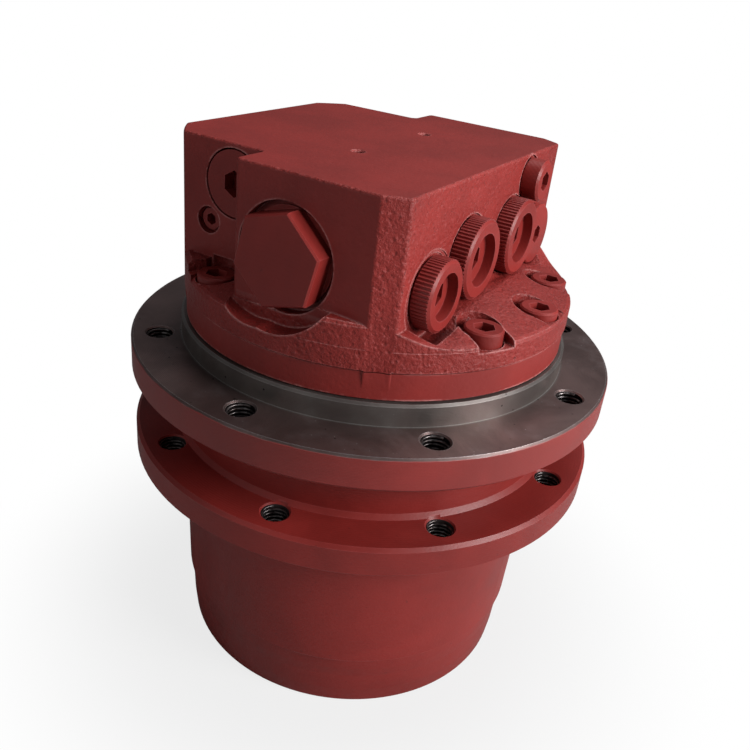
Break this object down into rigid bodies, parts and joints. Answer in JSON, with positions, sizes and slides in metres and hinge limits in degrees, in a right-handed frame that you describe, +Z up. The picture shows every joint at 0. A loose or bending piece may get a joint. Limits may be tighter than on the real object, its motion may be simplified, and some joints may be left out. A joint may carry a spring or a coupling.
{
  "type": "excavator final drive",
  "caption": "Two-flange tracked-excavator final drive: planetary hub around a fixed spindle, axial piston motor inside and a cast port block with plugged ports on top.",
  "frame": {"origin": "centre of the end cover's foot, on the hub axis", "axes": "+Z up the hub axis from the cover to the port block, +X out of the face with the port plugs, -Y out of the face with the large hexagon plug shown"},
  "size_m": [0.23, 0.23, 0.2554],
  "materials": {
    "hub_paint": "satin red paint over a cast hub",
    "cover_paint": "satin red paint over a cast cover",
    "oil_plug_steel": "thin red paint over steel plugs",
    "flange_steel": "bare turned steel, darkened, red paint on the rim",
    "block_paint": "satin red paint over rough sand casting",
    "screw_paint": "red paint over socket screws",
    "plug_paint": "red paint over knurled steel plugs",
    "valve_plug_paint": "red paint over hexagon plugs",
    "wing_plug_paint": "red paint over flush plugs",
    "steel_inner": "oiled machined steel",
    "ground_steel": "ground and hardened steel",
    "rubber": "black nitrile rubber",
    "bronze": "machined bronze",
    "friction_lining": "sintered friction lining"
  },
  "bodies": {
    "housing": {"spindle": "flange_steel", "bearing_nut": "steel_inner", "bearing_inner_races": "steel_inner", "seal_ring_spindle": "steel_inner", "seal_rubber_spindle": "rubber", "second_planet_sleeves": "steel_inner", "second_planet_pins": "ground_steel", "planet_keep_plate": "steel_inner", "keep_plate_screws": "steel_inner", "swash_pivot_balls": "ground_steel", "valve_plate": "bronze", "brake_steel_plates": "steel_inner", "brake_disc_spring": "steel_inner", "shaft_bearing_outer_rings": "steel_inner", "shaft_seal": "rubber", "port_block": "block_paint", "block_seal_ring": "rubber", "block_screws": "screw_paint", "port_plugs": "plug_paint", "round_plug": "plug_paint", "flat_plug": "plug_paint", "valve_plugs": "valve_plug_paint", "counterbalance_springs": "steel_inner", "wing_plugs": "wing_plug_paint", "speed_spring": "steel_inner"},
    "hub": {"hub": "hub_paint", "end_cover": "cover_paint", "oil_plugs": "oil_plug_steel", "cover_seal": "rubber", "bearing_outer_races": "steel_inner", "seal_ring_hub": "steel_inner", "seal_rubber_hub": "rubber"},
    "bearing_cage": {"bearing_balls": "ground_steel", "bearing_cages": "bronze"},
    "carrier": {"first_carrier": "steel_inner", "first_planet_pins": "ground_steel", "first_planet_sleeves": "steel_inner", "second_sun": "steel_inner"},
    "shaft": {"first_sun_shaft": "steel_inner", "motor_shaft": "ground_steel", "cylinder_barrel": "steel_inner", "pistons": "ground_steel", "ball_guide": "steel_inner", "barrel_springs": "steel_inner", "brake_friction_plates": "friction_lining", "shaft_bearing_inner_rings": "steel_inner"},
    "shaft_rollers": {"shaft_bearing_rollers": "ground_steel"},
    "swash": {"swash_plate": "steel_inner"},
    "shoes": {"piston_shoes": "bronze", "shoe_retaining_plate": "steel_inner"},
    "brake": {"brake_piston": "steel_inner"},
    "counterbalance": {"counterbalance_spool": "ground_steel"},
    "speed_valve": {"speed_spool": "ground_steel"},
    "first_planet_1": {"first_planet_1": "steel_inner"},
    "second_planet_1": {"second_planet_1": "steel_inner"},
    "first_planet_2": {"first_planet_2": "steel_inner"},
    "second_planet_2": {"second_planet_2": "steel_inner"},
    "first_planet_3": {"first_planet_3": "steel_inner"},
    "second_planet_3": {"second_planet_3": "steel_inner"}
  },
  "joints": [
    {"name": "hub_spin", "type": "hinge", "parent": "housing", "child": "hub", "pos_m": [0, 0, 0.06], "axis": [0, 0, 1], "continuous": true},
    {"name": "bearing_cage_spin", "type": "hinge", "parent": "housing", "child": "bearing_cage", "pos_m": [0, 0, 0.11], "axis": [0, 0, 1], "continuous": true},
    {"name": "carrier_spin", "type": "hinge", "parent": "housing", "child": "carrier", "pos_m": [0, 0, 0.058], "axis": [0, 0, 1], "continuous": true},
    {"name": "shaft_spin", "type": "hinge", "parent": "housing", "child": "shaft", "pos_m": [0, 0, 0.12], "axis": [0, 0, 1], "continuous": true, "deforming": ["pistons"]},
    {"name": "shaft_roller_spin", "type": "hinge", "parent": "housing", "child": "shaft_rollers", "pos_m": [0, 0, 0.105], "axis": [0, 0, 1], "continuous": true},
    {"name": "swash_tilt", "type": "hinge", "parent": "housing", "child": "swash", "pos_m": [0, 0, 0.112], "axis": [0, 1, 0], "range_deg": [0, 5], "stiffness_Nm_per_rad": 20, "springref_deg": -1.15},
    {"name": "shoe_spin", "type": "hinge", "parent": "swash", "child": "shoes", "pos_m": [0, 0, 0.12952], "axis": [-0.2079, 0, 0.9781], "continuous": true},
    {"name": "brake_release", "type": "slide", "parent": "housing", "child": "brake", "axis": [0, 0, 1], "range_m": [0, 0.0015], "stiffness_N_per_m": 20000, "springref_m": -0.001, "deforming": ["brake_disc_spring"]},
    {"name": "counterbalance_shift", "type": "slide", "parent": "housing", "child": "counterbalance", "axis": [0, 1, 0], "range_m": [-0.005, 0.005], "stiffness_N_per_m": 5000, "deforming": ["counterbalance_springs"]},
    {"name": "speed_shift", "type": "slide", "parent": "housing", "child": "speed_valve", "axis": [0, 1, 0], "range_m": [0, 0.008], "stiffness_N_per_m": 2000, "springref_m": -0.001, "deforming": ["speed_spring"]},
    {"name": "first_planet_1_spin", "type": "hinge", "parent": "carrier", "child": "first_planet_1", "pos_m": [0.045, 0, 0.044], "axis": [0, 0, 1], "continuous": true},
    {"name": "second_planet_1_spin", "type": "hinge", "parent": "housing", "child": "second_planet_1", "pos_m": [0.04875, 0, 0.079], "axis": [0, 0, 1], "continuous": true},
    {"name": "first_planet_2_spin", "type": "hinge", "parent": "carrier", "child": "first_planet_2", "pos_m": [-0.0225, 0.03897, 0.044], "axis": [0, 0, 1], "continuous": true},
    {"name": "second_planet_2_spin", "type": "hinge", "parent": "housing", "child": "second_planet_2", "pos_m": [-0.02438, 0.04222, 0.079], "axis": [0, 0, 1], "continuous": true},
    {"name": "first_planet_3_spin", "type": "hinge", "parent": "carrier", "child": "first_planet_3", "pos_m": [-0.0225, -0.03897, 0.044], "axis": [0, 0, 1], "continuous": true},
    {"name": "second_planet_3_spin", "type": "hinge", "parent": "housing", "child": "second_planet_3", "pos_m": [-0.02438, -0.04222, 0.079], "axis": [0, 0, 1], "continuous": true}
  ],
  "couplings": [
    {"joint": "bearing_cage_spin", "follows": "hub_spin", "ratio": 0.54138},
    {"joint": "carrier_spin", "follows": "hub_spin", "ratio": -3.3333},
    {"joint": "shaft_spin", "follows": "hub_spin", "ratio": -25},
    {"joint": "shaft_roller_spin", "follows": "hub_spin", "ratio": -10.156},
    {"joint": "shoe_spin", "follows": "hub_spin", "ratio": -25},
    {"joint": "first_planet_1_spin", "follows": "hub_spin", "ratio": 10.833},
    {"joint": "second_planet_1_spin", "follows": "hub_spin", "ratio": 2.8571},
    {"joint": "first_planet_2_spin", "follows": "hub_spin", "ratio": 10.833},
    {"joint": "second_planet_2_spin", "follows": "hub_spin", "ratio": 2.8571},
    {"joint": "first_planet_3_spin", "follows": "hub_spin", "ratio": 10.833},
    {"joint": "second_planet_3_spin", "follows": "hub_spin", "ratio": 2.8571}
  ]
}
